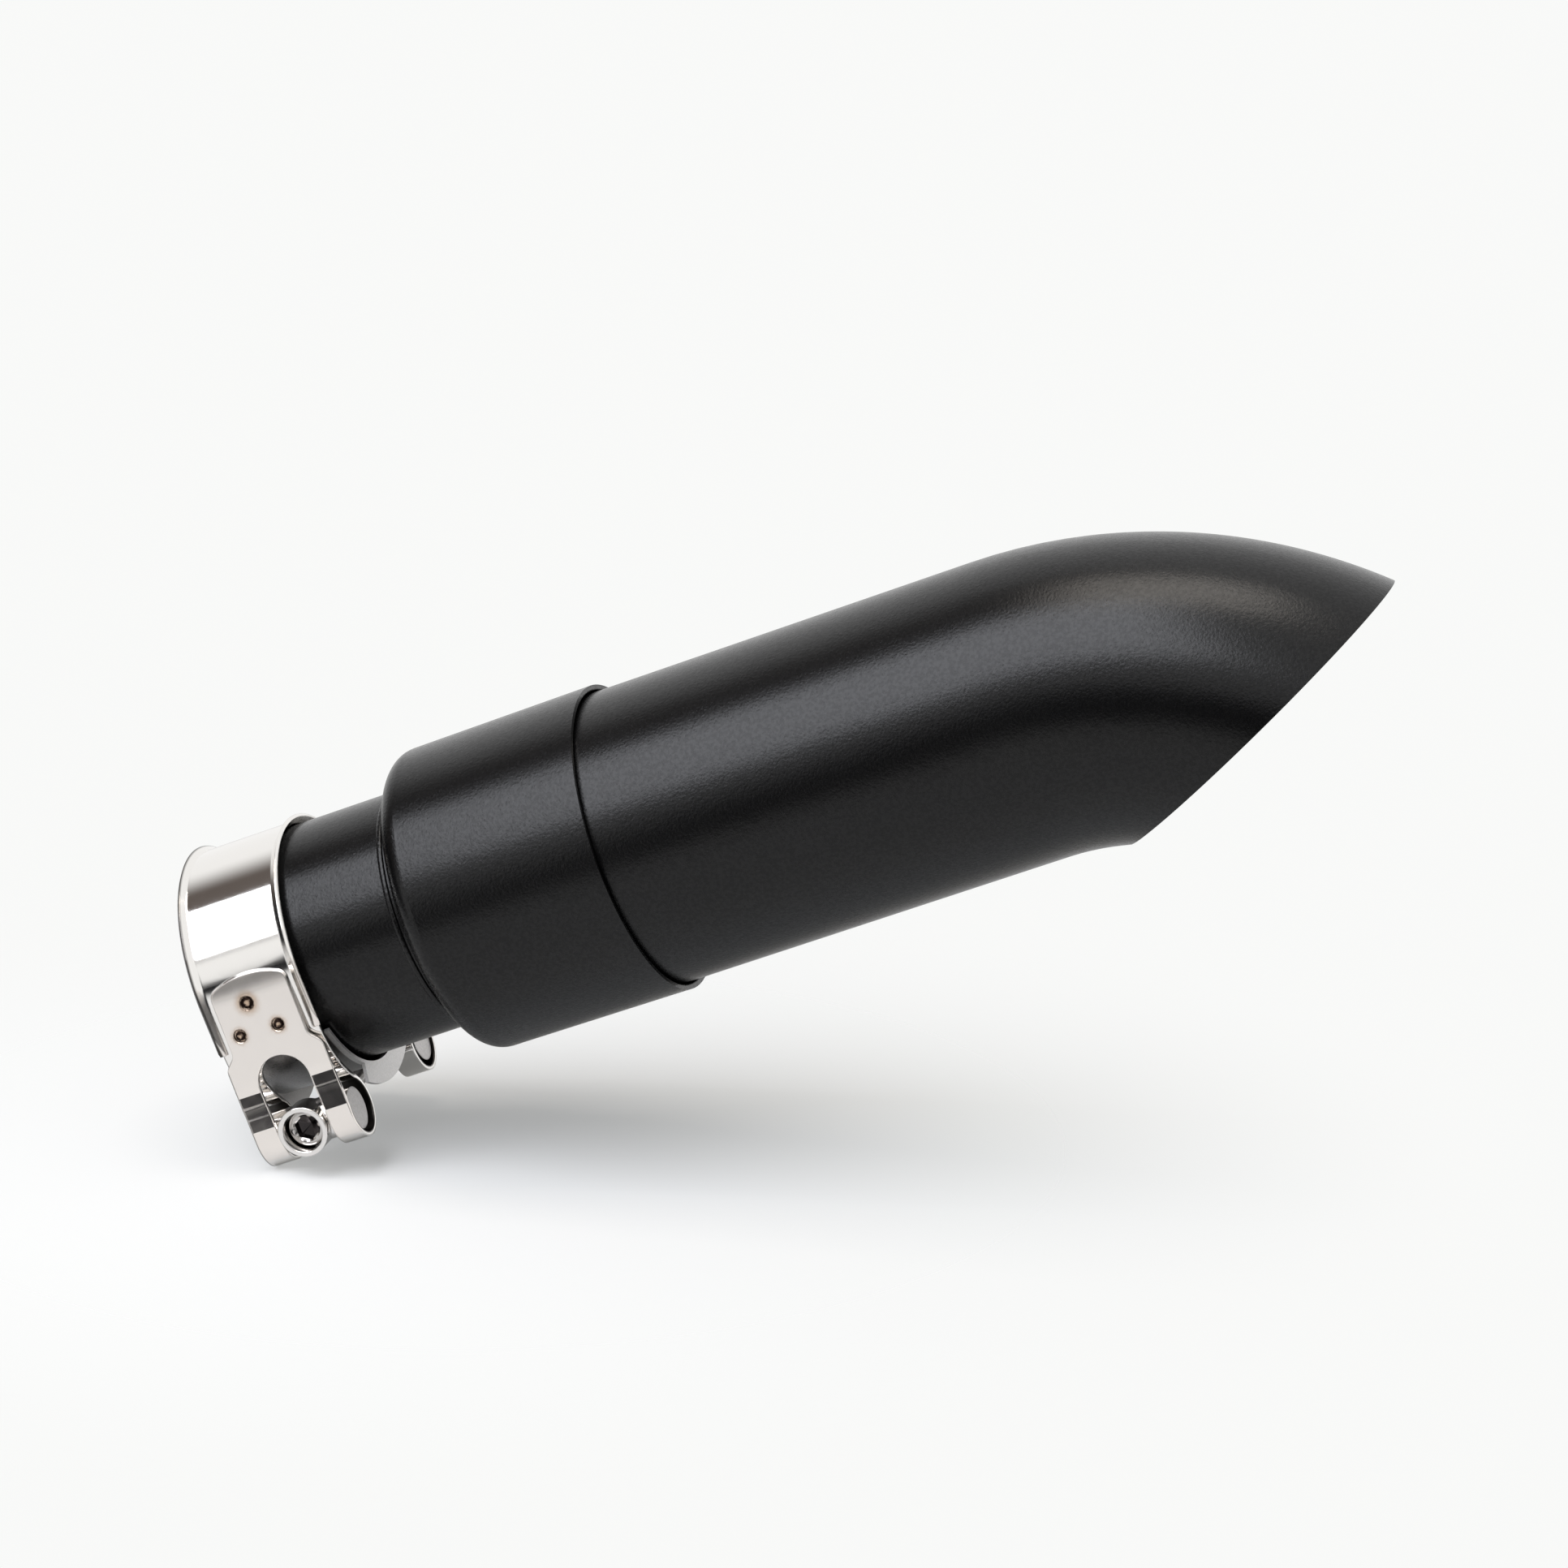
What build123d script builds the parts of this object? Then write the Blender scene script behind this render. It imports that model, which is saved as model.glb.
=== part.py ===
"""Turn-out slip-on muffler for a motorcycle, with its inlet clamp.

A plain inlet pipe carries a drawn front cap. The body tube slips into the cap, runs straight and
then turns down to a slash-cut tip. Inside, a perforated core and its wool sleeve sit between the
pipe and a rear baffle. A band clamp with two looped lugs, two cross barrels and a socket screw
pinches the slit end of the pipe onto the bike's exhaust. Millimetres, +X from the inlet mouth
towards the tip, +Z up. The tip turns down and the clamp's screw passes under the pipe.
"""

import os
from math import cos, radians, sin

from build123d import *

os.makedirs("parts", exist_ok=True)

# Inlet pipe: slips over a 51 mm exhaust pipe
PIPE_BORE = 51.0
PIPE_WALL = 1.5
PIPE_LENGTH = 76.0
SLIT_COUNT = 4
SLIT_LENGTH = 20.0
SLIT_WIDTH = 2.4

# Front cap: drawn cup round the body tube, opening a little towards its lip
CAP_FRONT = 50.9
CAP_DEPTH = 48.1
CAP_FACE = 2.75
CAP_FLARE = 0.4
CAP_PLAY = 0.05
CAP_WALL = 1.2

# Body tube: starts inside the cap, runs straight, then bends down to the slash cut
BODY_RADIUS = 33.2
BODY_WALL = 1.5
BODY_IN_CAP = 27.0
BODY_STRAIGHT = 117.0
BEND_RADIUS = 91.8
BEND_SWEEP = 62.0
SLASH_REACH = 86.0
SLASH_SLOPE = 25.2

# Perforated core, wool and rear baffle inside the body
WOOL_THICKNESS = 5.3
CORE_WALL = 1.2
CORE_SOCKET = 12.0
CORE_SWAGE = 6.0
CORE_SHORT = 5.0
CORE_HOLE = 6.0
CORE_RINGS = 7
CORE_DRILLS = 4
BAFFLE_DEPTH = 9.0
BAFFLE_WALL = 1.5
SLIP = 0.05

# Clamp band: sheet ring with flared edges, hanging on the pipe
CLAMP_X = 11.8
BAND_WIDTH = 25.0
BAND_SHEET = 0.9
BAND_PLAY = 1.0
RING_DROP = 0.9
FLARE_RUN = 1.7
FLARE_RISE = 1.5

# Lugs: the band's ends turn in, loop round a barrel and lean back to rise again outside the band
LUG_WIDTH = 23.6
WELD_FLAT = 10.5
TURN_IN_RADIUS = 18.0
TURN_IN_ANGLE = 48.0
LOOP_RADIUS = 6.5
LOOP_BULGE = 1.0
LEAN_ANGLE = 8.0
LEAN_EASE = 20.0
TAB_WIDTH = 18.4
TAB_RISE = 4.6
TAB_CORNER = 2.2
TAB_SHOULDER = 12.0
WINDOW_WIDTH = 12.2
WINDOW_TOP = 14.6
WELD_SPOTS = [(-1.5, -1.6), (3.5, -8.2), (-5.8, -8.1)]
WELD_RING = 1.25
WELD_GROOVE = 0.38

# Bridge under the gap between the lugs
BRIDGE_SHEET = 0.8
BRIDGE_WELDED = 90.0
BRIDGE_FREE = 62.0
BRIDGE_FLANGE = 4.4
BRIDGE_FLANGE_HALF = 27.0

# Barrels and screw
BARREL_RADIUS = 4.8
BARREL_LENGTH = 22.4
BARREL_PLAY = 0.1
BOSS_RADIUS = 5.6
BOSS_STAND = 2.4
HEAD_RADIUS = 4.25
HEAD_HEIGHT = 5.0
HEAD_PLAY = 0.3
HEAD_SUNK = 3.0
SCREW_RADIUS = 2.5
SCREW_PLAY = 0.3
SCREW_LENGTH = 55.0
HEX_FLATS = 4.0
HEX_DEPTH = 2.8

# What follows from those sizes
PIPE_RADIUS = PIPE_BORE / 2 + PIPE_WALL
CAP_LIP = CAP_FRONT + CAP_DEPTH
CAP_SHOULDER_RADIUS = BODY_RADIUS + CAP_PLAY + CAP_WALL
CAP_ROUND = CAP_SHOULDER_RADIUS - PIPE_RADIUS - CAP_FACE
CAP_LIP_RADIUS = CAP_SHOULDER_RADIUS + CAP_FLARE
BODY_BORE = BODY_RADIUS - BODY_WALL
BODY_FRONT = CAP_LIP - BODY_IN_CAP
BEND_START = BODY_FRONT + BODY_STRAIGHT
SLASH_X = BEND_START + SLASH_REACH
CORE_RADIUS = BODY_BORE - WOOL_THICKNESS - 2 * SLIP
CORE_BORE = 2 * (CORE_RADIUS - CORE_WALL)
CORE_FRONT = PIPE_LENGTH - CORE_SOCKET
WOOL_FRONT = PIPE_LENGTH + CORE_SWAGE + CORE_WALL
CORE_REAR = BEND_START - CORE_SHORT
RING_RADIUS = PIPE_RADIUS + BAND_PLAY
RING_Z = -RING_DROP
FLAT_END = RING_Z - WELD_FLAT
SHEET_MID = RING_RADIUS + BAND_SHEET / 2
TAB_MID = RING_RADIUS + 1.5 * BAND_SHEET
LOOP_OUT = TAB_MID + LOOP_BULGE
LEAN_DROP = (LOOP_RADIUS + LEAN_EASE) * (1 - cos(radians(LEAN_ANGLE)))
LEAN_LENGTH = (LOOP_BULGE - LEAN_DROP) / sin(radians(LEAN_ANGLE))
DIVE = radians(90 - TURN_IN_ANGLE)
TURN_END_Y = -SHEET_MID + TURN_IN_RADIUS * (1 - cos(radians(TURN_IN_ANGLE)))
TURN_END_Z = FLAT_END - TURN_IN_RADIUS * sin(radians(TURN_IN_ANGLE))
DIVE_LENGTH = (-LOOP_OUT + LOOP_RADIUS * (1 + sin(DIVE)) - TURN_END_Y) / cos(DIVE)
LOOP_Z = TURN_END_Z - DIVE_LENGTH * sin(DIVE) - LOOP_RADIUS * cos(DIVE)
BARREL_Y = -LOOP_OUT + BAND_SHEET / 2 + BARREL_RADIUS + BARREL_PLAY
SCREW_SEAT_Y = BARREL_Y - BARREL_RADIUS - BOSS_STAND + HEAD_SUNK + HEAD_HEIGHT
CLAMP_AXIS = Axis((CLAMP_X, 0, RING_Z), (1, 0, 0))
CLAMP_SECTION = Plane((CLAMP_X, 0, 0), x_dir=(0, 1, 0), z_dir=(1, 0, 0))
CLAMP_FRONT = Plane((CLAMP_X, 0, 0), x_dir=(1, 0, 0), z_dir=(0, -1, 0))
SCREW_LINE = Plane((CLAMP_X, 0, LOOP_Z), x_dir=(1, 0, 0), z_dir=(0, 1, 0))

# Inlet pipe: one plain tube, slit at the mouth so the clamp can close it
with BuildPart() as inlet_pipe:
    with BuildSketch(Plane.YZ):
        Circle(PIPE_RADIUS)
        Circle(PIPE_BORE / 2, mode=Mode.SUBTRACT)
    extrude(amount=PIPE_LENGTH)
    slit_planes = [Plane.XY.rotated((360 / SLIT_COUNT * (i + 0.5), 0, 0)) for i in range(SLIT_COUNT)]
    with BuildSketch(*slit_planes):
        SlotOverall(2 * SLIT_LENGTH, SLIT_WIDTH)
    extrude(amount=PIPE_RADIUS + 1, mode=Mode.SUBTRACT)
inlet_pipe.part.label = "inlet_pipe"
export_step(inlet_pipe.part, "parts/inlet_pipe.step")

# Front cap: drawn cup with a round shoulder, welded round the pipe, open at its lip
with BuildPart() as front_cap:
    with BuildSketch(Plane.XZ):
        with BuildLine():
            cup = Polyline(
                (CAP_LIP, CAP_LIP_RADIUS),
                (CAP_FRONT, CAP_SHOULDER_RADIUS),
                (CAP_FRONT, PIPE_RADIUS),
            )
            fillet(cup.vertices()[1], radius=CAP_ROUND)
            offset(amount=CAP_WALL, side=Side.LEFT)
        make_face()
    revolve(axis=Axis.X)
    lip = front_cap.edges().filter_by(GeomType.CIRCLE).group_by(Axis.X)[-1]
    fillet(lip, radius=CAP_WALL * 0.3)
    with BuildSketch(Plane.YZ):
        Circle(PIPE_RADIUS + SLIP)
    extrude(amount=CAP_LIP, mode=Mode.SUBTRACT)
front_cap.part.label = "front_cap"
export_step(front_cap.part, "parts/front_cap.step")

# Body tube: mandrel bend at the tail, cut on the slant
with BuildPart() as outer_shell:
    with BuildLine(Plane.XZ) as tail_path:
        run = Line((BODY_FRONT, 0), (BEND_START, 0))
        JernArc(run @ 1, run % 1, BEND_RADIUS, -BEND_SWEEP)
    with BuildSketch(Plane.YZ.offset(BODY_FRONT)):
        Circle(BODY_RADIUS)
        Circle(BODY_BORE, mode=Mode.SUBTRACT)
    sweep(path=tail_path.line)
    slash = Plane(
        (SLASH_X, 0, 0),
        x_dir=(cos(radians(SLASH_SLOPE)), 0, sin(radians(SLASH_SLOPE))),
        z_dir=(-sin(radians(SLASH_SLOPE)), 0, cos(radians(SLASH_SLOPE))),
    )
    split(bisect_by=slash, keep=Keep.TOP)
outer_shell.part.label = "outer_shell"
export_step(outer_shell.part, "parts/outer_shell.step")

# Perforated core: its swaged front end slips over the pipe, the rest is drilled in staggered rings
with BuildPart() as perforated_core:
    with BuildSketch(Plane.XZ):
        with BuildLine():
            Polyline(
                (CORE_FRONT, PIPE_RADIUS + SLIP),
                (PIPE_LENGTH + SLIP, PIPE_RADIUS + SLIP),
                (PIPE_LENGTH + CORE_SWAGE, CORE_BORE / 2),
                (CORE_REAR, CORE_BORE / 2),
            )
            offset(amount=CORE_WALL, side=Side.LEFT)
        make_face()
    revolve(axis=Axis.X)
    ring_pitch = (CORE_REAR - BAFFLE_DEPTH - WOOL_FRONT) / CORE_RINGS
    drills = []
    for ring in range(CORE_RINGS):
        for step in range(CORE_DRILLS):
            turn = radians(180 / CORE_DRILLS * (step + 0.5 * (ring % 2)))
            spot = (WOOL_FRONT + ring_pitch * (ring + 0.5), 0, 0)
            drills.append(Plane(spot, x_dir=(1, 0, 0), z_dir=(0, cos(turn), sin(turn))))
    with Locations(*drills):
        Cylinder(CORE_HOLE / 2, 2 * PIPE_BORE, mode=Mode.SUBTRACT)
perforated_core.part.label = "perforated_core"
export_step(perforated_core.part, "parts/perforated_core.step")

# Rear baffle: dished ring that centres the core in the body and shuts the wool chamber
with BuildPart() as rear_baffle:
    baffle_height = BODY_BORE - CORE_RADIUS - 2 * SLIP
    baffle_middle = CORE_RADIUS + SLIP + baffle_height / 2
    with BuildSketch(Plane.XZ):
        with Locations((CORE_REAR, baffle_middle)):
            dish = Rectangle(BAFFLE_DEPTH, baffle_height, align=(Align.MAX, Align.CENTER))
        fillet(dish.vertices().group_by(Axis.X)[-1], radius=BAFFLE_WALL)
        with Locations((CORE_REAR - BAFFLE_WALL, baffle_middle)):
            Rectangle(
                BAFFLE_DEPTH,
                baffle_height - 2 * BAFFLE_WALL,
                align=(Align.MAX, Align.CENTER),
                mode=Mode.SUBTRACT,
            )
    revolve(axis=Axis.X)
rear_baffle.part.label = "rear_baffle"
export_step(rear_baffle.part, "parts/rear_baffle.step")

# Wool packing: sleeve wrapped on the core, filling the chamber up to the baffle
with BuildPart() as wool_packing:
    with BuildSketch(Plane.YZ.offset(WOOL_FRONT)):
        Circle(BODY_BORE - SLIP)
        Circle(CORE_RADIUS + SLIP, mode=Mode.SUBTRACT)
    extrude(amount=CORE_REAR - BAFFLE_DEPTH - WOOL_FRONT - SLIP)
wool_packing.part.label = "wool_packing"
export_step(wool_packing.part, "parts/wool_packing.step")

# Clamp band: half a ring with flared edges, its lug folded from the same strip, then mirrored
with BuildPart() as clamp_band:
    ring_top = Plane((CLAMP_X, 0, RING_Z), x_dir=(1, 0, 0), z_dir=(0, -1, 0))
    ring_side = Plane((CLAMP_X, 0, RING_Z), x_dir=(1, 0, 0), z_dir=(0, 0, -1))
    with BuildSketch(ring_top) as flared_strip:
        with BuildLine():
            strip = FilletPolyline(
                (-BAND_WIDTH / 2, RING_RADIUS + FLARE_RISE),
                (-BAND_WIDTH / 2 + FLARE_RUN, RING_RADIUS),
                (BAND_WIDTH / 2 - FLARE_RUN, RING_RADIUS),
                (BAND_WIDTH / 2, RING_RADIUS + FLARE_RISE),
                radius=1.2,
            )
            offset(strip, amount=BAND_SHEET, side=Side.LEFT)
        make_face()
    revolve(axis=CLAMP_AXIS, revolution_arc=90)
    with BuildSketch(ring_side):
        add(flared_strip.sketch_local)
    extrude(amount=WELD_FLAT)
    # the flares run out towards the lug
    flare_edge = RING_RADIUS + 2 * BAND_SHEET + FLARE_RISE
    with BuildSketch(CLAMP_SECTION):
        with BuildLine():
            Polyline(
                (-SHEET_MID - BAND_SHEET, FLAT_END),
                (-flare_edge, RING_Z),
                (-flare_edge, FLAT_END),
                close=True,
            )
        make_face()
    extrude(amount=BAND_WIDTH, both=True, mode=Mode.SUBTRACT)
    # the strip turns in below the weld and loops round the barrel
    with BuildSketch(CLAMP_SECTION):
        with BuildLine():
            turn_in = JernArc((-SHEET_MID, FLAT_END), (0, -1), TURN_IN_RADIUS, TURN_IN_ANGLE)
            dive = Line(turn_in @ 1, turn_in @ 1 + turn_in % 1 * DIVE_LENGTH)
            loop = JernArc(dive @ 1, dive % 1, LOOP_RADIUS, TURN_IN_ANGLE - 270 - LEAN_ANGLE)
        trace(line_width=BAND_SHEET)
    extrude(amount=LUG_WIDTH / 2, both=True)
    # the tab leans back to the band and ends in a narrow arched tongue between the flares
    with BuildPart(mode=Mode.PRIVATE) as tab:
        with BuildSketch(CLAMP_SECTION):
            with BuildLine():
                lean = Line(loop @ 1, loop @ 1 + loop % 1 * LEAN_LENGTH)
                ease = JernArc(lean @ 1, lean % 1, LEAN_EASE, LEAN_ANGLE)
                rise = Line(ease @ 1, (-TAB_MID, RING_Z))
                JernArc(rise @ 1, rise % 1, TAB_MID, -TAB_RISE * 2.4)
            trace(line_width=BAND_SHEET)
        extrude(amount=LUG_WIDTH / 2, both=True)
        with BuildSketch(CLAMP_FRONT):
            with BuildLine():
                Polyline(
                    (-TAB_WIDTH / 2, TAB_RISE - TAB_CORNER),
                    (-TAB_WIDTH / 2, -TAB_SHOULDER),
                    (-LUG_WIDTH / 2, -TAB_SHOULDER - (LUG_WIDTH - TAB_WIDTH) / 2),
                    (-LUG_WIDTH / 2, 2 * LOOP_Z),
                    (LUG_WIDTH / 2, 2 * LOOP_Z),
                    (LUG_WIDTH / 2, -TAB_SHOULDER - (LUG_WIDTH - TAB_WIDTH) / 2),
                    (TAB_WIDTH / 2, -TAB_SHOULDER),
                    (TAB_WIDTH / 2, TAB_RISE - TAB_CORNER),
                )
                ThreePointArc(
                    (TAB_WIDTH / 2, TAB_RISE - TAB_CORNER),
                    (0, TAB_RISE),
                    (-TAB_WIDTH / 2, TAB_RISE - TAB_CORNER),
                )
            outline = make_face()
            fillet(outline.vertices().group_by(Axis.Z)[-1], radius=TAB_CORNER)
        extrude(amount=2 * TAB_MID, both=True, mode=Mode.INTERSECT)
    add(tab.part)
    # round-topped window for the barrel's boss and the screw
    with BuildSketch(CLAMP_FRONT):
        with Locations((0, -WINDOW_TOP - WINDOW_WIDTH / 2)):
            Circle(WINDOW_WIDTH / 2)
            Rectangle(WINDOW_WIDTH, 2 * TAB_MID, align=(Align.CENTER, Align.MAX))
    extrude(amount=2 * TAB_MID, mode=Mode.SUBTRACT)
    # spot welds: a pressed ring round each
    tab_face = -TAB_MID - BAND_SHEET / 2
    spot_faces = [Plane((CLAMP_X + x, tab_face, z), z_dir=(0, -1, 0)) for x, z in WELD_SPOTS]
    with Locations(*spot_faces):
        Torus(WELD_RING, WELD_GROOVE, mode=Mode.SUBTRACT)
    mirror(about=Plane.XZ)
clamp_band.part.label = "clamp_band"
export_step(clamp_band.part, "parts/clamp_band.step")

# Bridge: thin shoe inside the band, with side flanges between the lugs
with BuildPart() as clamp_bridge:
    shoe_plane = Plane((CLAMP_X, 0, RING_Z), x_dir=(1, 0, 0), z_dir=(0, 1, 0))
    with BuildSketch(shoe_plane):
        with Locations((0, RING_RADIUS - BRIDGE_SHEET / 2)):
            Rectangle(LUG_WIDTH, BRIDGE_SHEET)
    revolve(axis=CLAMP_AXIS, revolution_arc=BRIDGE_WELDED)
    with BuildSketch(shoe_plane):
        with Locations((0, RING_RADIUS - BRIDGE_SHEET / 2)):
            Rectangle(LUG_WIDTH, BRIDGE_SHEET)
    revolve(axis=CLAMP_AXIS, revolution_arc=-BRIDGE_FREE)
    with BuildSketch(shoe_plane):
        for side in (-1, 1):
            with Locations((side * (LUG_WIDTH - BRIDGE_SHEET) / 2, RING_RADIUS - BRIDGE_SHEET)):
                Rectangle(BRIDGE_SHEET, BRIDGE_SHEET + BRIDGE_FLANGE, align=(Align.CENTER, Align.MIN))
    revolve(axis=CLAMP_AXIS, revolution_arc=BRIDGE_FLANGE_HALF)
    with BuildSketch(shoe_plane):
        for side in (-1, 1):
            with Locations((side * (LUG_WIDTH - BRIDGE_SHEET) / 2, RING_RADIUS - BRIDGE_SHEET)):
                Rectangle(BRIDGE_SHEET, BRIDGE_SHEET + BRIDGE_FLANGE, align=(Align.CENTER, Align.MIN))
    revolve(axis=CLAMP_AXIS, revolution_arc=-BRIDGE_FLANGE_HALF)
clamp_bridge.part.label = "clamp_bridge"
export_step(clamp_bridge.part, "parts/clamp_bridge.step")

# Head barrel: cross pin with a round boss, counterbored for the screw's head
with BuildPart() as head_barrel:
    with BuildSketch(CLAMP_SECTION):
        with Locations((BARREL_Y, LOOP_Z)):
            Circle(BARREL_RADIUS)
    extrude(amount=BARREL_LENGTH / 2, both=True)
    with BuildSketch(SCREW_LINE.offset(BARREL_Y)):
        Circle(BOSS_RADIUS)
    extrude(amount=-BARREL_RADIUS - BOSS_STAND)
    with BuildSketch(SCREW_LINE.offset(SCREW_SEAT_Y)):
        Circle(HEAD_RADIUS + HEAD_PLAY)
    extrude(amount=-2 * HEAD_HEIGHT, mode=Mode.SUBTRACT)
    with BuildSketch(SCREW_LINE):
        Circle(SCREW_RADIUS + SCREW_PLAY)
    extrude(amount=-2 * TAB_MID, mode=Mode.SUBTRACT)
head_barrel.part.label = "head_barrel"
export_step(head_barrel.part, "parts/head_barrel.step")

# Nut barrel: cross pin tapped for the screw
with BuildPart() as nut_barrel:
    with BuildSketch(CLAMP_SECTION):
        with Locations((-BARREL_Y, LOOP_Z)):
            Circle(BARREL_RADIUS)
    extrude(amount=BARREL_LENGTH / 2, both=True)
    with BuildSketch(SCREW_LINE):
        Circle(SCREW_RADIUS + SLIP)
    extrude(amount=2 * TAB_MID, mode=Mode.SUBTRACT)
nut_barrel.part.label = "nut_barrel"
export_step(nut_barrel.part, "parts/nut_barrel.step")

# Clamp screw: socket head seated in the boss, shank through both barrels
with BuildPart() as clamp_screw:
    with BuildSketch(SCREW_LINE.offset(SCREW_SEAT_Y)):
        Circle(SCREW_RADIUS)
    extrude(amount=SCREW_LENGTH)
    with BuildSketch(SCREW_LINE.offset(SCREW_SEAT_Y)):
        Circle(HEAD_RADIUS)
    extrude(amount=-HEAD_HEIGHT)
    rims = clamp_screw.edges().filter_by(GeomType.CIRCLE).sort_by(Axis.Y)
    chamfer([rims[0], rims[-1]], length=0.5)
    with BuildSketch(SCREW_LINE.offset(SCREW_SEAT_Y - HEAD_HEIGHT)):
        RegularPolygon(HEX_FLATS / 2, 6, major_radius=False)
    extrude(amount=HEX_DEPTH, mode=Mode.SUBTRACT)
clamp_screw.part.label = "clamp_screw"
export_step(clamp_screw.part, "parts/clamp_screw.step")
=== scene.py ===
import bpy
import numpy as np
from mathutils import Matrix, Vector


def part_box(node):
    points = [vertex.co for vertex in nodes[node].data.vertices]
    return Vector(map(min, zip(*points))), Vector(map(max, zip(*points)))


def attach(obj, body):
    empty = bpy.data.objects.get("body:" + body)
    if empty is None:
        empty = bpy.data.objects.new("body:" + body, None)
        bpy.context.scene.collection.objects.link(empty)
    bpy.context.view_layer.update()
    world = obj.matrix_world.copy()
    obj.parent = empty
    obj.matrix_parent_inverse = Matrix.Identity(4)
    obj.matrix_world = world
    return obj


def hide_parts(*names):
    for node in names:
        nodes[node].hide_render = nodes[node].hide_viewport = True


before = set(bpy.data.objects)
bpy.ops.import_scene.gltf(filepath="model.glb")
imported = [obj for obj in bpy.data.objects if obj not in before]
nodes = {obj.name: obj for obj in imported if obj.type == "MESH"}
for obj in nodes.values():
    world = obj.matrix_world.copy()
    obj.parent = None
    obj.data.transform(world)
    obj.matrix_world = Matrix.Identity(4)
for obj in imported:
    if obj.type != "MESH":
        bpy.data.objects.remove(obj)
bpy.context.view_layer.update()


# Inlet pipe: a plain steel tube that slips over the exhaust pipe, slit at its mouth.
# It is welded to the cap and powder coated with it: satin black with a fine pebbled grain.
class Wire:
    """One output socket of a node tree. Sums and products of wires and numbers add Math nodes."""

    def __init__(self, tree, socket=None):
        self.tree = tree
        self.socket = socket

    def node(self, kind, settings, inputs, output=0):
        """Adds a node of that kind, sets its settings, then its sockets, and returns one output."""
        made = self.tree.nodes.new(kind)
        for name, value in settings.items():
            setattr(made, name, value)
        for name, value in inputs.items():
            if isinstance(value, Wire):
                self.tree.links.new(value.socket, made.inputs[name])
            else:
                made.inputs[name].default_value = value
        return Wire(self.tree, made.outputs[output] if made.outputs else None)

    def math(self, operation, first, second=0.0):
        """One Math node on two wires or numbers."""
        return self.node("ShaderNodeMath", {"operation": operation}, {0: first, 1: second})

    def __add__(self, other):
        return self.math("ADD", self, other)

    __radd__ = __add__

    def __sub__(self, other):
        return self.math("SUBTRACT", self, other)

    def __rsub__(self, other):
        return self.math("SUBTRACT", other, self)

    def __mul__(self, other):
        return self.math("MULTIPLY", self, other)

    __rmul__ = __mul__

    def __pow__(self, other):
        return self.math("POWER", self, other)

    def step(self, low, high):
        """0 below low, 1 above high, smooth between them."""
        return self.node(
            "ShaderNodeMapRange",
            {"interpolation_type": "SMOOTHSTEP"},
            {"Value": self, "From Min": low, "From Max": high},
        )

    def blend(self, first, second):
        """The colour first where this wire is 0 and second where it is 1."""
        return self.node("ShaderNodeMix", {"data_type": "RGBA"}, {0: self, 6: first, 7: second}, 2)


def new_finish(name):
    """An empty material and the first wire of its tree."""
    finish = bpy.data.materials.new(name)
    finish.use_nodes = True
    finish.node_tree.nodes.clear()
    return finish, Wire(finish.node_tree)


def noise(place, scale, detail=2.0):
    """Soft random value from 0 to 1, with grains about 1 / scale metres across."""
    return place.node(
        "ShaderNodeTexNoise", {}, {"Vector": place, "Scale": scale, "Detail": detail, "Roughness": 0.55}
    )


def wear(name, finish):
    """Gives a CAD node that finish on all its faces."""
    nodes[name].data.materials.clear()
    nodes[name].data.materials.append(finish)


black_coat, start = new_finish("black_powder_coat")
place = start.node("ShaderNodeTexCoord", {}, {}, 3)
pebble = noise(place, 1700.0, 2.0)
drift = noise(place, 45.0)
speck = noise(place, 1250.0, 1.0).step(0.36, 0.64)
coat_bump = start.node("ShaderNodeBump", {}, {"Strength": 1.0, "Distance": 0.00006, "Height": pebble})
coat = start.node(
    "ShaderNodeBsdfPrincipled",
    {},
    {
        "Base Color": drift.blend((0.0012, 0.0012, 0.0014, 1), (0.0024, 0.0023, 0.0024, 1)),
        "Roughness": 0.18 + 0.03 * drift + 0.12 * pebble,
        "Specular IOR Level": 0.24,
        "Coat Weight": 0.08 + 0.11 * speck,
        "Coat Roughness": 0.24,
        "Normal": coat_bump,
    },
)
start.node("ShaderNodeOutputMaterial", {}, {"Surface": coat})
wear("inlet_pipe", black_coat)

# Front cap: a drawn steel cup with a rounded shoulder and an open lip over the body.
# It is welded round the pipe and powder coated with it.
wear("front_cap", black_coat)

# Seam weld: the bead run round the pipe just ahead of the cap, a low ridge with faint ripples under
# the coat.
BEAD_AHEAD = 0.0026
BEAD_HALF = 0.0007
BEAD_HEIGHT = 0.00045
BEAD_SUNK = 0.00002
BEAD_RIPPLE = 0.00003
SHARP_ANGLE = 0.6
cap_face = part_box("front_cap")[0][0]
pipe_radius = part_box("inlet_pipe")[1][1]


def grid_mesh(name, points, finish):
    """A surface through a grid of points, closed round the grid's second axis, in one finish."""
    rows, spokes = points.shape[:2]
    row, column = np.meshgrid(np.arange(rows - 1), np.arange(spokes), indexing="ij")
    turned = (column + 1) % spokes
    near, far = row * spokes, (row + 1) * spokes
    quads = np.stack([near + column, near + turned, far + turned, far + column], axis=-1).reshape(-1, 4)
    mesh = bpy.data.meshes.new(name)
    mesh.from_pydata(points.reshape(-1, 3).tolist(), [], quads.tolist())
    mesh.shade_smooth()
    mesh.set_sharp_from_angle(angle=SHARP_ANGLE)
    mesh.materials.append(finish)
    thing = bpy.data.objects.new(name, mesh)
    bpy.context.scene.collection.objects.link(thing)
    return thing


def net(name, points, finish):
    """A grid surface that is a piece of the muffler."""
    piece = grid_mesh(name, points, finish)
    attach(piece, "root")
    return piece


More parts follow.
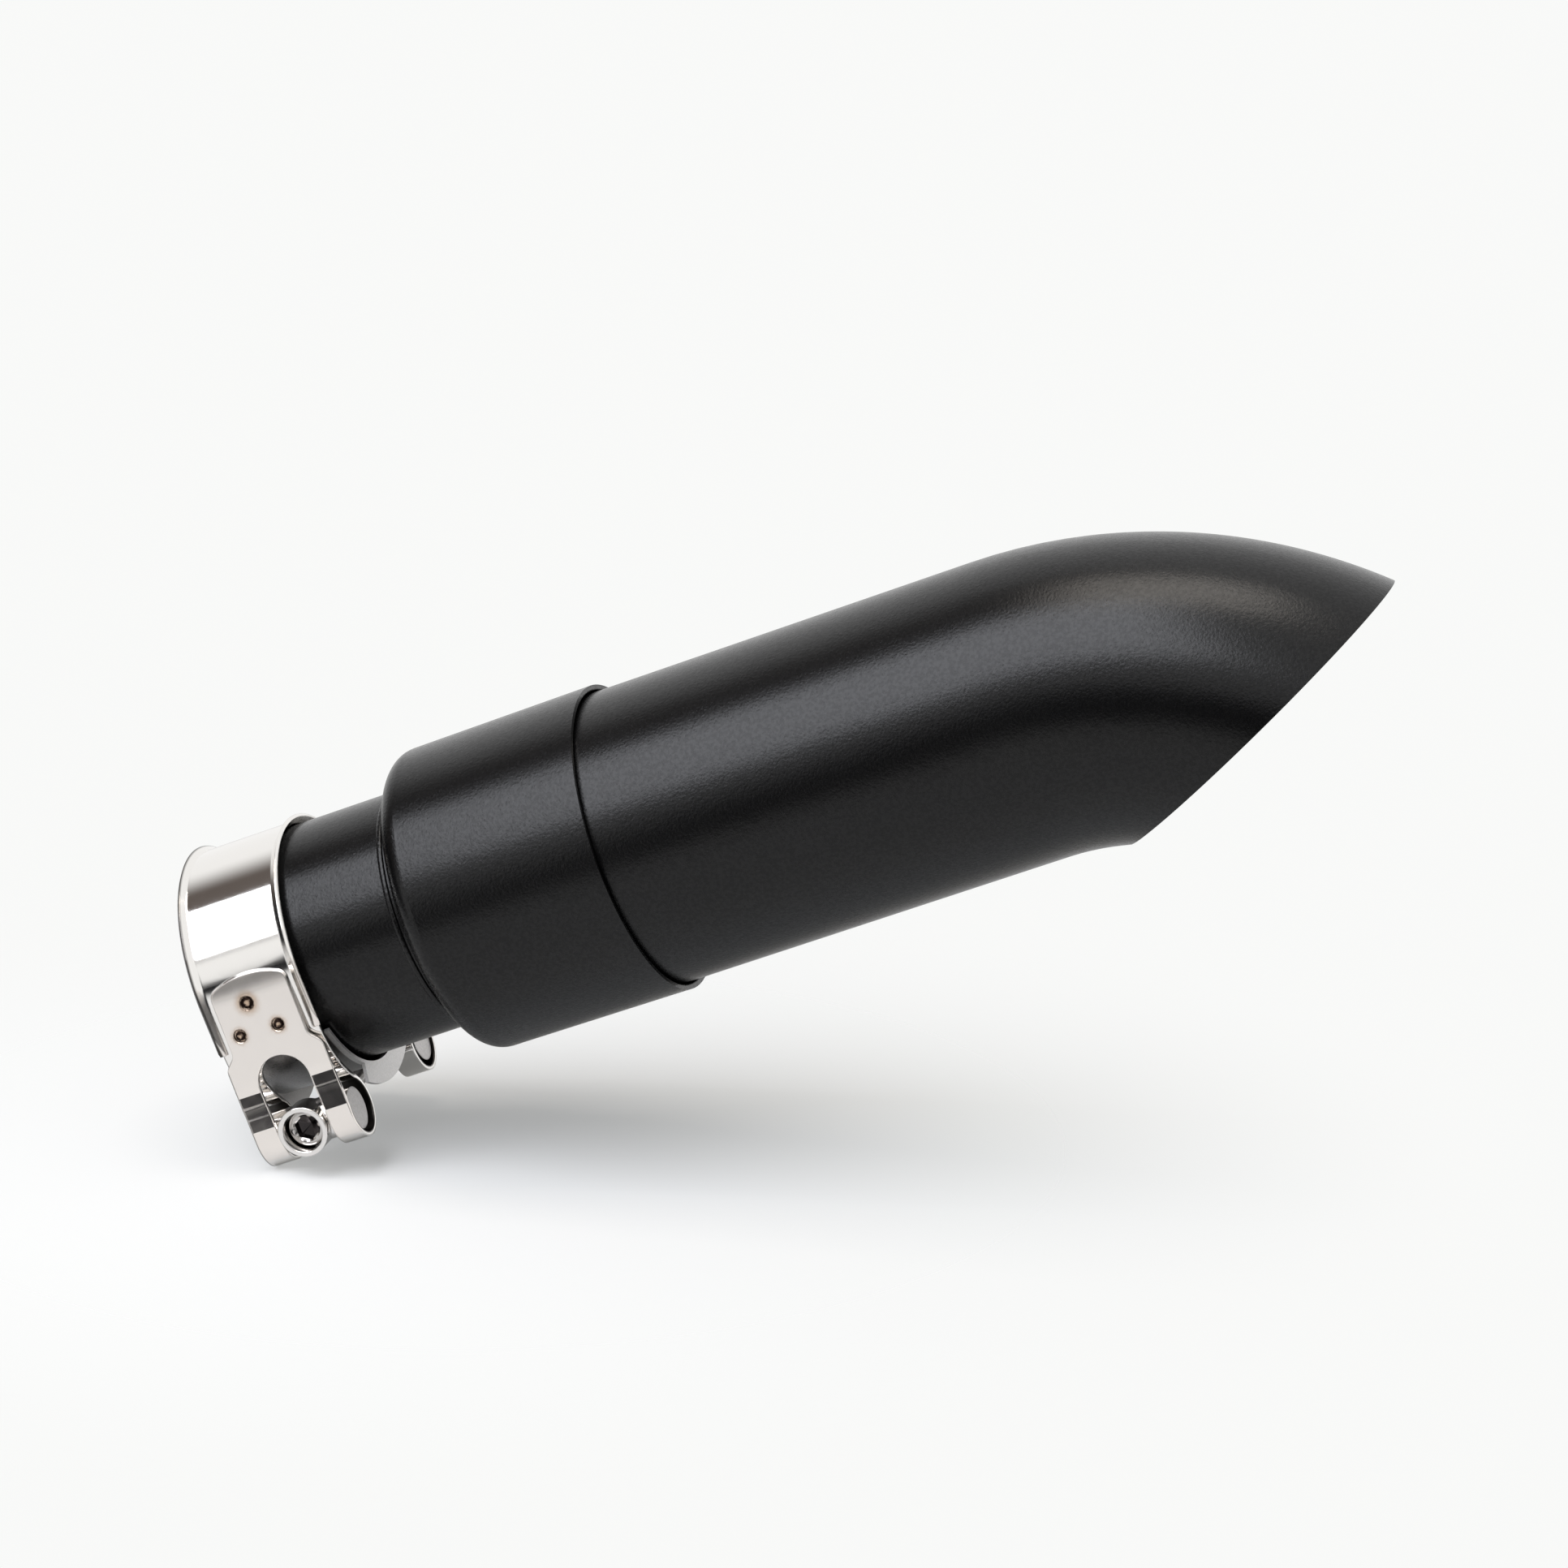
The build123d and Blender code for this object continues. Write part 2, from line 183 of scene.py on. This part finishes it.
def bead_points(rows=13, spokes=360, ripples=110):
    """Half ellipse that stands on the pipe, turned round the axis; the ripples swell its crest."""
    bend, turn = np.meshgrid(
        np.linspace(0, np.pi, rows), np.arange(spokes) * 2 * np.pi / spokes, indexing="ij"
    )
    swell = BEAD_RIPPLE * np.sin(bend) * np.cos(ripples * turn)
    along = cap_face - BEAD_AHEAD + BEAD_HALF * np.cos(bend)
    radius = pipe_radius - BEAD_SUNK + (BEAD_HEIGHT + swell) * np.sin(bend)
    return np.stack([along, radius * np.cos(turn), radius * np.sin(turn)], axis=-1)


net("seam_weld", bead_points(), black_coat)

# Body tube: mandrel-bent steel tube, slash cut at the tip.
# It is pushed into the cap and wears the same powder coat.
wear("outer_shell", black_coat)

# Perforated core: drilled steel tube that carries the gas, seen only through the tip.
# It is bare, dull and tanned by heat.
core_steel, start = new_finish("heat_tanned_steel")
place = start.node("ShaderNodeTexCoord", {}, {}, 3)
soot = noise(place, 120.0, 4.0)
core = start.node(
    "ShaderNodeBsdfPrincipled",
    {},
    {
        "Base Color": soot.blend((0.20, 0.17, 0.15, 1), (0.42, 0.39, 0.36, 1)),
        "Metallic": 1.0,
        "Roughness": 0.42 + 0.2 * soot,
    },
)
start.node("ShaderNodeOutputMaterial", {}, {"Surface": core})
wear("perforated_core", core_steel)

# Rear baffle: a ring pressed from the core's steel and tanned by the same heat.
# It is pushed into the body and centres the core's end.
wear("rear_baffle", core_steel)

# Wool packing: a sleeve of glass wool wrapped on the core.
# The body and the baffle shut it in.
wool, start = new_finish("glass_wool")
place = start.node("ShaderNodeTexCoord", {}, {}, 3)
fibre = noise(place, 700.0, 5.0)
fleece = start.node(
    "ShaderNodeBsdfPrincipled",
    {},
    {
        "Base Color": fibre.blend((0.50, 0.46, 0.36, 1), (0.72, 0.68, 0.56, 1)),
        "Roughness": 0.95,
        "Normal": start.node("ShaderNodeBump", {}, {"Strength": 0.6, "Distance": 0.0006, "Height": fibre}),
    },
)
start.node("ShaderNodeOutputMaterial", {}, {"Surface": fleece})
wear("wool_packing", wool)

# Clamp band: polished stainless strip with flared edges; each end loops round a barrel and is spot
# welded back to the band. The welds leave dark pits with a straw-brown heat tint round them. The
# inside of the loops is painted near black as painted shade, and a thin strip along the flared edge at
# the mouth is painted near black as a painted dark reflection.
WELDS = ((0.0103, -0.0016, 1.25), (0.0153, -0.0082, 0.95), (0.0060, -0.0081, 0.9))  # x, z and size
WELD_SPATTER = 0.0012
TINT_EDGE = (0.0008, 0.0030)
PIT_INNER = (0.0002, 0.0007)
PIT_OUTER = (0.0010, 0.0015)
LOOP_MIDDLE = (0.02385, -0.0323)  # distance from the middle plane, and z
LOOP_INSIDE = 0.0062
LOOP_FADE = 0.0002
TAB_SIDE = 0.0288
TAB_SIDE_FADE = 0.0005
TAB_TOP = 0.0040
TAB_TOP_FADE = 0.0015
SATIN_FOOT = (-0.0220, -0.0180)
PAINTED_RIM = (-0.0001, 0.0004)
LEG_TOP = -0.0213
LEG_DROP = 0.0082
LEG_LEAN = 0.14
TAB_LEAN = 0.04
CREASE = -0.02397
CREASE_LEAN = 0.145
CREASE_ONSET = 0.0010
CREASE_EASE = 0.00226
BAND_RIPPLE = 0.00004
WORN_EDGE = 0.0005
polished, start = new_finish("polished_stainless")
place = start.node("ShaderNodeTexCoord", {}, {}, 3)
axes = [start.node("ShaderNodeSeparateXYZ", {}, {"Vector": place}, k) for k in range(3)]
ripple = noise(place, 60.0, 0.0)
smear = noise(place, 420.0, 4.0)
spatter = noise(place, 1400.0, 3.0)
tint = 0.0
pit = 0.0
for x, z, size in WELDS:
    reach = ((axes[0] - x) ** 2.0 + (axes[2] - z) ** 2.0) ** 0.5 + (spatter - 0.5) * WELD_SPATTER
    past_tint, past_middle, past_pit = (
        reach.step(low * size, high * size) for low, high in (TINT_EDGE, PIT_INNER, PIT_OUTER)
    )
    tint = tint + (1 - past_tint)
    pit = pit + past_middle * (1 - past_pit)
side = axes[1].math("ABSOLUTE", axes[1])
above_tab = axes[2].step(TAB_TOP, TAB_TOP + TAB_TOP_FADE)
lug = side.step(TAB_SIDE, TAB_SIDE + TAB_SIDE_FADE) * (1 - above_tab)
round_loop = ((side - LOOP_MIDDLE[0]) ** 2.0 + (axes[2] - LOOP_MIDDLE[1]) ** 2.0) ** 0.5
# Painted shade: the inside of each loop is painted near black in the band's colour below.
inside = 1 - round_loop.step(LOOP_INSIDE, LOOP_INSIDE + LOOP_FADE)
satin = lug * axes[2].step(*SATIN_FOOT)
# Painted reflection: a thin strip along the band's flared edge at the mouth is painted near black.
painted_rim = 1 - axes[0].step(*PAINTED_RIM)
bright = lug.blend((0.86, 0.84, 0.81, 1), (0.84, 0.795, 0.75, 1))
burnt = tint.blend(bright, (0.56, 0.42, 0.31, 1))
marked = pit.blend(burnt, (0.02, 0.012, 0.010, 1))


def reach_down(top, most):
    """How far a point of the band lies below top, from 0 up to most."""
    return axes[2].math("MINIMUM", axes[2].math("MAXIMUM", top - axes[2], 0.0), most)


# The bump tilts the band's ends: the tabs one way, the legs under them the other, with a crease across.
lean = LEG_LEAN * reach_down(LEG_TOP, LEG_DROP) - TAB_LEAN * reach_down(TAB_TOP, TAB_TOP - LEG_TOP)
onset = reach_down(CREASE + CREASE_ONSET / 2, CREASE_ONSET)
ease = reach_down(CREASE - CREASE_ONSET / 2, CREASE_EASE)
onset_rise = CREASE_LEAN / (2 * CREASE_ONSET) * onset**2.0
ease_rise = CREASE_LEAN * ease - CREASE_LEAN / (2 * CREASE_EASE) * ease**2.0
swell = lean + onset_rise + ease_rise + BAND_RIPPLE * ripple
worn_edge = start.node("ShaderNodeBevel", {"samples": 6}, {"Radius": WORN_EDGE})
band = start.node(
    "ShaderNodeBsdfPrincipled",
    {},
    {
        # Painted shade in the loops and a painted dark reflection on the flared edge, both near black.
        "Base Color": inside.math("MAXIMUM", inside, painted_rim).blend(marked, (0.06, 0.055, 0.05, 1)),
        "Metallic": 1.0,
        "Roughness": 0.06 + 0.05 * smear + 0.14 * satin + 0.3 * pit + 0.2 * inside,
        "Normal": start.node(
            "ShaderNodeBump", {}, {"Strength": 1.0, "Distance": 1.0, "Height": swell, "Normal": worn_edge}
        ),
    },
)
start.node("ShaderNodeOutputMaterial", {}, {"Surface": band})
wear("clamp_band", polished)

# Bridge: a thin stainless shoe that spans the gap between the band's ends, clamped by the band.
# Its plate is dull and painted dark grey as painted shade; its cut side flanges are bright and gritty.
FLANGE_START = 0.0104
FLANGE_FADE = 0.0004
band_low, band_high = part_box("clamp_band")
clamp_x = (band_low[0] + band_high[0]) / 2
cut_steel, start = new_finish("cut_stainless")
place = start.node("ShaderNodeTexCoord", {}, {}, 3)
across = start.node("ShaderNodeSeparateXYZ", {}, {"Vector": place}, 0)
grit = noise(place, 2600.0, 4.0)
flange = across.math("ABSOLUTE", across - clamp_x).step(FLANGE_START, FLANGE_START + FLANGE_FADE)
# Painted shade: the plate is painted dark grey, far darker than the bright flanges.
sawn = start.node(
    "ShaderNodeBsdfPrincipled",
    {},
    {
        "Base Color": flange.blend(
            grit.blend((0.15, 0.145, 0.145, 1), (0.30, 0.295, 0.29, 1)),
            grit.blend((0.50, 0.49, 0.48, 1), (0.86, 0.85, 0.84, 1)),
        ),
        "Metallic": 1.0,
        "Roughness": 0.20 + 0.20 * grit + 0.20 * flange,
        "Normal": start.node("ShaderNodeBump", {}, {"Strength": 0.35, "Distance": 0.0001, "Height": grit}),
    },
)
start.node("ShaderNodeOutputMaterial", {}, {"Surface": sawn})
wear("clamp_bridge", cut_steel)

# Barrels: turned stainless cross pins in the loops, polished round the outside and sawn at the ends;
# one is bossed for the screw's head and the other is tapped for its thread.
PIN_FADE = (0.00010, 0.00002)  # where the sawn end's finish starts and is full, inside the end
pin_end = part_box("head_barrel")[1][0] - clamp_x
turned_steel, start = new_finish("turned_stainless")
place = start.node("ShaderNodeTexCoord", {}, {}, 3)
across = start.node("ShaderNodeSeparateXYZ", {}, {"Vector": place}, 0)
grit = noise(place, 2200.0, 4.0)
from_middle = across.math("ABSOLUTE", across - clamp_x)
sawn_end = from_middle.step(pin_end - PIN_FADE[0], pin_end - PIN_FADE[1])
worn_edge = start.node("ShaderNodeBevel", {"samples": 6}, {"Radius": WORN_EDGE})
pin = start.node(
    "ShaderNodeBsdfPrincipled",
    {},
    {
        "Base Color": sawn_end.blend(
            (0.78, 0.76, 0.74, 1), grit.blend((0.42, 0.41, 0.40, 1), (0.78, 0.76, 0.75, 1))
        ),
        "Metallic": 1.0,
        "Roughness": 0.08 + 0.05 * grit + 0.42 * sawn_end,
        "Normal": start.node(
            "ShaderNodeBump",
            {},
            {"Strength": 0.5 * sawn_end, "Distance": 0.0002, "Height": grit, "Normal": worn_edge},
        ),
    },
)
start.node("ShaderNodeOutputMaterial", {}, {"Surface": pin})
wear("head_barrel", turned_steel)
wear("nut_barrel", turned_steel)

# Clamp screw: stainless socket screw, M5 with a rolled thread. Its head sits in the boss and its thread
# pulls the far barrel. Its socket and the head's side are painted near black as painted shade.
PITCH = 0.0008
THREAD_RADIUS = 0.0025
THREAD_DEPTH = 0.00042
NECK_RADIUS = 0.00205
TIP_RADIUS = 0.0018
HEAD_HEIGHT = 0.005
HEAD_ROUND = 0.0006
HEX_HALF = 0.0025
HEX_CHAMFER = 0.0031
SOCKET_WALL = 0.0028
SOCKET_TIP = 0.0036
SOCKET_LIP = 0.0004
RECESS_START = (0.0003, 0.0008)
RECESS_END = (0.0042, 0.0048)
screw_low, screw_high = (np.array(corner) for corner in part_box("clamp_screw"))


def screw_points(spokes=72, rows_per_turn=6):
    """Socket, head and thread, turned round the screw's axis. The socket's radius is that of a hexagon, and
    the thread's falls and rises evenly with the distance along the axis less the turn's share of a pitch."""
    turn = np.arange(spokes) * 2 * np.pi / spokes
    hexagon = HEX_HALF / np.cos((turn + np.pi / 6) % (np.pi / 3) - np.pi / 6)
    length = screw_high[1] - screw_low[1]
    head = (screw_high[0] - screw_low[0]) / 2
    shaped = [(SOCKET_TIP, 0 * turn), (SOCKET_WALL, hexagon), (SOCKET_LIP, hexagon)]
    edge = ((0, 1), (1 / 6, 1 / 2), (1 / 2, 1 / 6), (1, 0))
    rounded = [(HEAD_ROUND * down, head - HEAD_ROUND * inward) for down, inward in edge]
    plain = [(0, HEX_CHAMFER), *rounded, (HEAD_HEIGHT, head), (HEAD_HEIGHT, NECK_RADIUS)]
    shaped += [(y, r + 0 * turn) for y, r in plain]
    along = np.arange(HEAD_HEIGHT + PITCH / 2, length - PITCH, PITCH / rows_per_turn)
    wave = np.abs(2 * ((along[:, None] / PITCH - turn / (2 * np.pi)) % 1) - 1)
    ends = [(length, TIP_RADIUS + 0 * turn), (length, 0 * turn)]
    y = np.concatenate([[p for p, _ in shaped], along, [p for p, _ in ends]])
    radius = np.vstack([[r for _, r in shaped], THREAD_RADIUS - THREAD_DEPTH * wave, [r for _, r in ends]])
    middle = (screw_low + screw_high) / 2
    x = middle[0] + radius * np.cos(turn)
    z = middle[2] + radius * np.sin(turn)
    return np.stack([x, (screw_low[1] + y)[:, None] + 0 * radius, z], axis=-1)


screw_steel, start = new_finish("screw_steel")
place = start.node("ShaderNodeTexCoord", {}, {}, 3)
oil = noise(place, 500.0, 3.0)
depth = start.node("ShaderNodeSeparateXYZ", {}, {"Vector": place}, 1) - screw_low[1]
# Painted shade: the socket and the head's side are painted near black, from 0.8 mm under the top face down
# to about 4.2 mm.
head_shade = depth.step(*RECESS_START) * (1 - depth.step(*RECESS_END))
bolt = start.node(
    "ShaderNodeBsdfPrincipled",
    {},
    {
        "Base Color": head_shade.blend(
            oil.blend((0.40, 0.385, 0.37, 1), (0.62, 0.60, 0.58, 1)), (0.05, 0.045, 0.045, 1)
        ),
        "Metallic": 1.0,
        "Roughness": 0.12 + 0.12 * oil,
    },
)
start.node("ShaderNodeOutputMaterial", {}, {"Surface": bolt})
screw = net("threaded_screw", screw_points(), screw_steel)
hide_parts("clamp_screw")

# Studio floor: white board that the clamp rests on, with the muffler's tail raised off it.
# It fades out into the white room, and is clear from below.
FLOOR_UP = Vector((0.374, 0.0, 0.927)).normalized()
FLOOR_AHEAD = 0.042
FLOOR_REACH = 0.4
FLOOR_FADE = (-0.02, 0.23)
FLOOR_GLOW = 0.26
MIRRORED_REACH = 0.16  # how much further out the floor fades where the metal mirrors it
MIRRORED_GLOW = 0.5
foot = Vector((0.0, 0.0, band_low[2]))
ahead = Vector((FLOOR_AHEAD, 0.0, 0.0))
floor_middle = foot + ahead - FLOOR_UP * ahead.dot(FLOOR_UP)


def disc_points(rings=24, spokes=96):
    """A flat disc: radius runs over the rings and angle, clockwise from above, over the spokes."""
    along = FLOOR_UP.cross(Vector((0, 1, 0))).normalized()
    across = FLOOR_UP.cross(along)
    radius, angle = np.meshgrid(
        np.linspace(0.0, FLOOR_REACH, rings), -np.arange(spokes) * 2 * np.pi / spokes, indexing="ij"
    )
    ahead_part = (radius * np.cos(angle))[..., None] * np.array(along)
    side_part = (radius * np.sin(angle))[..., None] * np.array(across)
    return np.array(floor_middle) + ahead_part + side_part


white_board, start = new_finish("white_board")
place = start.node("ShaderNodeTexCoord", {}, {}, 3)
away = start.node("ShaderNodeVectorMath", {"operation": "DISTANCE"}, {0: place, 1: tuple(floor_middle)}, 1)
below = start.node("ShaderNodeNewGeometry", {}, {}, 6)
by_camera, by_mirror = (start.node("ShaderNodeLightPath", {}, {}, k) for k in (0, 3))
glow = FLOOR_GLOW * by_camera.math("MAXIMUM", by_camera, MIRRORED_GLOW * by_mirror)
paper = start.node("ShaderNodeBsdfDiffuse", {}, {"Color": (0.62, 0.62, 0.615, 1)})
lift = start.node("ShaderNodeEmission", {}, {"Color": (0.90, 0.92, 0.92, 1), "Strength": glow})
board = start.node("ShaderNodeAddShader", {}, {0: paper, 1: lift})
clear = start.node("ShaderNodeBsdfTransparent", {}, {})
shown = (1 - (away - MIRRORED_REACH * by_mirror).step(*FLOOR_FADE)) * (1 - below)
start.node(
    "ShaderNodeOutputMaterial",
    {},
    {"Surface": start.node("ShaderNodeMixShader", {}, {0: shown, 1: clear, 2: board})},
)
grid_mesh("studio_floor", disc_points(), white_board)

# Studio room: white walls, a dark side behind the camera and a dim warm gap in the lights overhead.
# The camera and the metal see it at full strength; matt surfaces are lit by about a third of it.
DARK_REAR = (0.15, 0.50)
DARK_TOP = (0.21, 0.31)
DARK_FOOT = (-0.26, -0.12)
DARK_LEFT = (-0.84, -0.72)
SLOPE_START = -0.29
SLOPE = 2.0
GAP_REAR = (0.12, 0.58)
GAP_RIGHT = (-0.05, 0.25)
GAP_FOOT = (0.45, 0.60)
HORIZON = (-0.20, 0.0)
MATT_LIGHT = 0.3
world = bpy.data.worlds.new("studio_room")
world.use_nodes = True
world.node_tree.nodes.clear()
bpy.context.scene.world = world
start = Wire(world.node_tree)
sight = start.node("ShaderNodeTexCoord", {}, {}, 0)
x, y, z = (start.node("ShaderNodeSeparateXYZ", {}, {"Vector": sight}, k) for k in range(3))
height = start.node("ShaderNodeVectorMath", {"operation": "DOT_PRODUCT"}, {0: sight, 1: tuple(FLOOR_UP)}, 1)
# The dark side reaches from just under the horizon to the softbox, and less high on the left.
lowered = height + SLOPE * x.math("MAXIMUM", SLOPE_START - x, 0.0)
behind_camera = (0 - y).step(*DARK_REAR) * (1 - lowered.step(*DARK_TOP)) * height.step(*DARK_FOOT)
leftward = 1 - x.step(*DARK_LEFT)
gap = (1 - y.step(*GAP_REAR)) * (1 - x.step(*GAP_RIGHT)) * z.step(*GAP_FOOT)
floorward = 1 - height.step(*HORIZON)
walls = floorward.blend((1.0, 1.0, 1.0, 1), (0.82, 0.81, 0.80, 1))
dark = x.math("MAXIMUM", behind_camera, leftward)
shaded = dark.blend(walls, (0.020, 0.020, 0.022, 1))
room = gap.blend(shaded, (0.13, 0.11, 0.10, 1))
by_camera, by_mirror, by_glass = (start.node("ShaderNodeLightPath", {}, {}, k) for k in (0, 3, 6))
clearly = x.math("MAXIMUM", x.math("MAXIMUM", by_camera, by_mirror), by_glass)
lit = start.node("ShaderNodeBackground", {}, {"Color": (1.0, 1.0, 1.0, 1), "Strength": MATT_LIGHT})
pictured = by_camera.blend(room, (0.945, 0.950, 0.940, 1))
looked = start.node("ShaderNodeBackground", {}, {"Color": pictured, "Strength": 1.0})
start.node(
    "ShaderNodeOutputWorld",
    {},
    {"Surface": start.node("ShaderNodeMixShader", {}, {0: clearly, 1: lit, 2: looked})},
)

# Softbox: one wide diffused light, above and in front.
# It draws the highlight along the body and the white band on the clamp.
MUFFLER_MIDDLE = Vector((0.12, 0.0, 0.0))


def hang_light(name, towards, distance, width, height, watts, colour):
    """A rectangular lamp at that distance along a direction from the muffler's middle, facing it."""
    lamp = bpy.data.lights.new(name, "AREA")
    lamp.shape = "RECTANGLE"
    lamp.size, lamp.size_y = width, height
    lamp.energy = watts
    lamp.color = colour
    holder = bpy.data.objects.new(name, lamp)
    back = Vector(towards).normalized()
    side = Vector((1, 0, 0)) - back * back.x
    side.normalize()
    up = back.cross(side)
    turn = Matrix((side, up, back)).transposed().to_4x4()
    holder.matrix_world = Matrix.Translation(MUFFLER_MIDDLE + back * distance) @ turn
    bpy.context.scene.collection.objects.link(holder)


hang_light(
    "softbox",
    towards=(-0.10, -0.49, 0.80),
    distance=1.25,
    width=1.1,
    height=1.0,
    watts=18.0,
    colour=(0.92, 0.94, 1.0),
)

# Warm lamp: a smaller diffused light, overhead on the tail's side.
# It is a little yellower than the softbox, and warms the bend's highlight.
hang_light(
    "warm_lamp",
    towards=(0.30, 0.0, 0.95),
    distance=1.2,
    width=0.7,
    height=0.5,
    watts=4.4,
    colour=(1.0, 0.93, 0.85),
)

# Camera: a long lens a metre and a half off, looking a little down at the clamp's side.
# It is rolled so that the muffler rises to the right.
CAMERA_PLACE = (0.557379, -1.318043, 0.235076)
FOCAL_LENGTH = 149.08
lens = bpy.data.cameras.new("camera")
lens.sensor_fit = "HORIZONTAL"
lens.sensor_width = 36.0
lens.lens = FOCAL_LENGTH
lens.clip_start = 0.05
camera = bpy.data.objects.new("camera", lens)
right = Vector((0.903418, 0.225883, -0.364434))
up = Vector((0.304433, 0.260591, 0.916195))
back = Vector((0.301921, -0.938653, 0.166657))
turn = Matrix((right, up, back)).transposed().to_4x4()
camera.matrix_world = Matrix.Translation(CAMERA_PLACE) @ turn
bpy.context.scene.collection.objects.link(camera)
bpy.context.scene.camera = camera
bpy.context.scene.view_settings.view_transform = "Standard"
